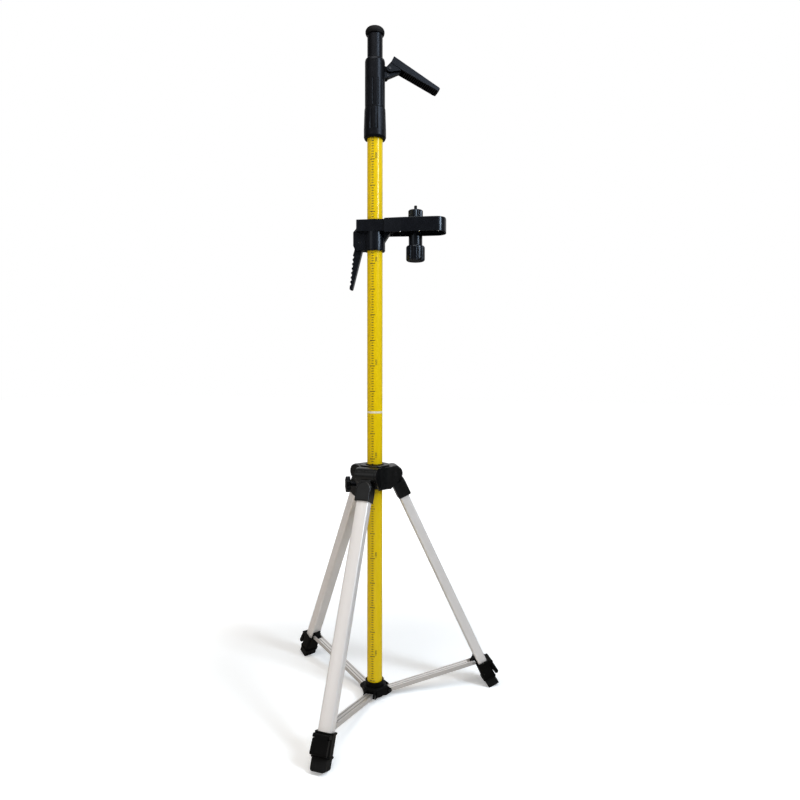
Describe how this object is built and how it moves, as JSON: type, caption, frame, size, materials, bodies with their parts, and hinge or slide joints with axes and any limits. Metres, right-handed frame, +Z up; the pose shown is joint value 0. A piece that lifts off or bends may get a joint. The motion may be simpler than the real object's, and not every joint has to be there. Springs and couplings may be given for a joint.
{
  "type": "laser level tripod",
  "caption": "Telescoping pole on a folding tripod, with a sliding clamp bracket that carries an instrument screw and a jack lever that presses the padded top against a ceiling.",
  "frame": {"origin": "On the floor under the pole's axis, at the centre of the flat bottom of the pole foot", "axes": "+Z up the pole; one leg points along -Y; the bracket arm points 11 degrees and the jack lever 34 degrees from +X towards +Y"},
  "size_m": [0.467, 0.407, 1.3271],
  "materials": {
    "yellow_paint": "glossy yellow enamel over steel tube",
    "bare_aluminium": "turned metal, lightly polished",
    "leg_aluminium": "satin anodised extrusion",
    "brace_aluminium": "satin folded channel",
    "steel": "plated fasteners",
    "black_rubber": "dull moulded rubber",
    "black_plastic": "fine-grained moulded plastic",
    "bracket_plastic": "semi-gloss moulded plastic",
    "pale_plastic": "natural bearing plastic"
  },
  "bodies": {
    "pole": {"lower_tube": "yellow_paint", "upper_tube": "yellow_paint", "tube_coupler": "bare_aluminium", "pole_foot": "black_rubber", "lower_hub": "black_plastic", "hub_rivets": "steel", "lock_sleeve": "black_plastic"},
    "twist_collar": {"twist_collar": "black_plastic"},
    "head": {"head_housing": "black_plastic", "extension_tube": "bare_aluminium", "strut_pin": "steel"},
    "top_rod": {"top_rod": "black_plastic", "top_cap": "black_rubber", "jack_pin": "steel"},
    "jack_lever": {"jack_lever": "black_plastic"},
    "jack_strut": {"jack_strut": "black_plastic"},
    "crown": {"crown": "black_plastic", "crown_bush": "pale_plastic", "leg_pins": "steel"},
    "crown_screw": {"crown_knob": "black_plastic", "crown_stud": "steel"},
    "clamp_sleeve": {"clamp_sleeve": "bracket_plastic"},
    "clamp": {"clamp_body": "bracket_plastic", "platform": "bracket_plastic", "platform_screws": "steel", "clamp_pad": "pale_plastic", "clamp_pin": "steel"},
    "clamp_lever": {"clamp_lever": "bracket_plastic"},
    "mount_screw": {"mount_knob": "bracket_plastic", "stud_collar": "bracket_plastic", "mount_stud": "steel"},
    "leg_1": {"leg_socket_1": "black_plastic", "leg_tube_1": "leg_aluminium", "brace_lug_1": "black_plastic", "brace_rivet_1": "steel", "lock_housing_1": "black_plastic"},
    "inner_leg_1": {"inner_leg_1": "leg_aluminium", "foot_1": "black_rubber"},
    "lock_lever_1": {"lock_lever_1": "black_plastic"},
    "brace_1": {"brace_1": "brace_aluminium"},
    "leg_2": {"leg_socket_2": "black_plastic", "leg_tube_2": "leg_aluminium", "brace_lug_2": "black_plastic", "brace_rivet_2": "steel", "lock_housing_2": "black_plastic"},
    "inner_leg_2": {"inner_leg_2": "leg_aluminium", "foot_2": "black_rubber"},
    "lock_lever_2": {"lock_lever_2": "black_plastic"},
    "brace_2": {"brace_2": "brace_aluminium"},
    "leg_3": {"leg_socket_3": "black_plastic", "leg_tube_3": "leg_aluminium", "brace_lug_3": "black_plastic", "brace_rivet_3": "steel", "lock_housing_3": "black_plastic"},
    "inner_leg_3": {"inner_leg_3": "leg_aluminium", "foot_3": "black_rubber"},
    "lock_lever_3": {"lock_lever_3": "black_plastic"},
    "brace_3": {"brace_3": "brace_aluminium"}
  },
  "joints": [
    {"name": "crown_slide", "type": "slide", "parent": "pole", "child": "crown", "axis": [0, 0, 1], "range_m": [0, 0.17201]},
    {"name": "leg_1_fold", "type": "hinge", "parent": "crown", "child": "leg_1", "pos_m": [0, -0.038, 0.45928], "axis": [1, 0, 0], "range_deg": [0, 18.3]},
    {"name": "brace_1_fold", "type": "hinge", "parent": "leg_1", "child": "brace_1", "pos_m": [0, -0.20864, 0.05317], "axis": [-1, 0, 0], "range_deg": [0, 82.33]},
    {"name": "leg_1_extend", "type": "slide", "parent": "leg_1", "child": "inner_leg_1", "axis": [0, -0.4266, -0.9045], "range_m": [0, 0.3]},
    {"name": "lock_1_flip", "type": "hinge", "parent": "leg_1", "child": "lock_lever_1", "pos_m": [0, -0.24432, 0.05629], "axis": [-1, 0, 0], "range_deg": [0, 85]},
    {"name": "leg_2_fold", "type": "hinge", "parent": "crown", "child": "leg_2", "pos_m": [0.03291, 0.019, 0.45928], "axis": [-0.5, 0.866, 0], "range_deg": [0, 18.3]},
    {"name": "brace_2_fold", "type": "hinge", "parent": "leg_2", "child": "brace_2", "pos_m": [0.18069, 0.10432, 0.05317], "axis": [0.5, -0.866, 0], "range_deg": [0, 82.33]},
    {"name": "leg_2_extend", "type": "slide", "parent": "leg_2", "child": "inner_leg_2", "axis": [0.3694, 0.2133, -0.9045], "range_m": [0, 0.3]},
    {"name": "lock_2_flip", "type": "hinge", "parent": "leg_2", "child": "lock_lever_2", "pos_m": [0.21158, 0.12216, 0.05629], "axis": [0.5, -0.866, 0], "range_deg": [0, 85]},
    {"name": "leg_3_fold", "type": "hinge", "parent": "crown", "child": "leg_3", "pos_m": [-0.03291, 0.019, 0.45928], "axis": [-0.5, -0.866, 0], "range_deg": [0, 18.3]},
    {"name": "brace_3_fold", "type": "hinge", "parent": "leg_3", "child": "brace_3", "pos_m": [-0.18069, 0.10432, 0.05317], "axis": [0.5, 0.866, 0], "range_deg": [0, 82.33]},
    {"name": "leg_3_extend", "type": "slide", "parent": "leg_3", "child": "inner_leg_3", "axis": [-0.3694, 0.2133, -0.9045], "range_m": [0, 0.3]},
    {"name": "lock_3_flip", "type": "hinge", "parent": "leg_3", "child": "lock_lever_3", "pos_m": [-0.21158, 0.12216, 0.05629], "axis": [0.5, 0.866, 0], "range_deg": [0, 85]},
    {"name": "crown_screw_turn", "type": "hinge", "parent": "crown", "child": "crown_screw", "pos_m": [-0.04296, -0.0248, 0.43728], "axis": [-0.866, -0.5, 0], "continuous": true},
    {"name": "bracket_slide", "type": "slide", "parent": "pole", "child": "clamp_sleeve", "axis": [0, 0, 1], "range_m": [-0.16, 0.13]},
    {"name": "bracket_swivel", "type": "hinge", "parent": "clamp_sleeve", "child": "clamp", "pos_m": [0, 0, 0.918], "axis": [0, 0, 1], "continuous": true},
    {"name": "clamp_lever_flip", "type": "hinge", "parent": "clamp", "child": "clamp_lever", "pos_m": [-0.02798, -0.00544, 0.914], "axis": [-0.1908, 0.9816, 0], "range_deg": [0, 70]},
    {"name": "mount_screw_turn", "type": "hinge", "parent": "clamp", "child": "mount_screw", "pos_m": [0.07902, 0.01536, 0.958], "axis": [0, 0, 1], "continuous": true},
    {"name": "twist_collar_turn", "type": "hinge", "parent": "pole", "child": "twist_collar", "pos_m": [0, 0, 1.114], "axis": [0, 0, 1], "range_deg": [0, 120]},
    {"name": "head_extend", "type": "slide", "parent": "pole", "child": "head", "axis": [0, 0, 1], "range_m": [0, 0.4]},
    {"name": "jack_lever_flip", "type": "hinge", "parent": "top_rod", "child": "jack_lever", "pos_m": [0.02238, 0.0151, 1.2495], "axis": [-0.5592, 0.829, 0], "range_deg": [0, 60.5]},
    {"name": "top_rod_lift", "type": "slide", "parent": "head", "child": "top_rod", "axis": [0, 0, 1], "range_m": [0, 0.02783]},
    {"name": "jack_strut_swing", "type": "hinge", "parent": "head", "child": "jack_strut", "pos_m": [0.01973, 0.01331, 1.2365], "axis": [0.5592, -0.829, 0], "range_deg": [0, 34.06]}
  ],
  "couplings": [
    {"joint": "leg_1_fold", "follows": "crown_slide", "rad_per_m": 1.8518},
    {"joint": "brace_1_fold", "follows": "crown_slide", "rad_per_m": 8.3441},
    {"joint": "leg_2_fold", "follows": "crown_slide", "rad_per_m": 1.8518},
    {"joint": "brace_2_fold", "follows": "crown_slide", "rad_per_m": 8.3441},
    {"joint": "leg_3_fold", "follows": "crown_slide", "rad_per_m": 1.8518},
    {"joint": "brace_3_fold", "follows": "crown_slide", "rad_per_m": 8.3441},
    {"joint": "top_rod_lift", "follows": "jack_lever_flip", "m_per_rad": 0.026264},
    {"joint": "jack_strut_swing", "follows": "jack_lever_flip", "ratio": 0.56126}
  ]
}
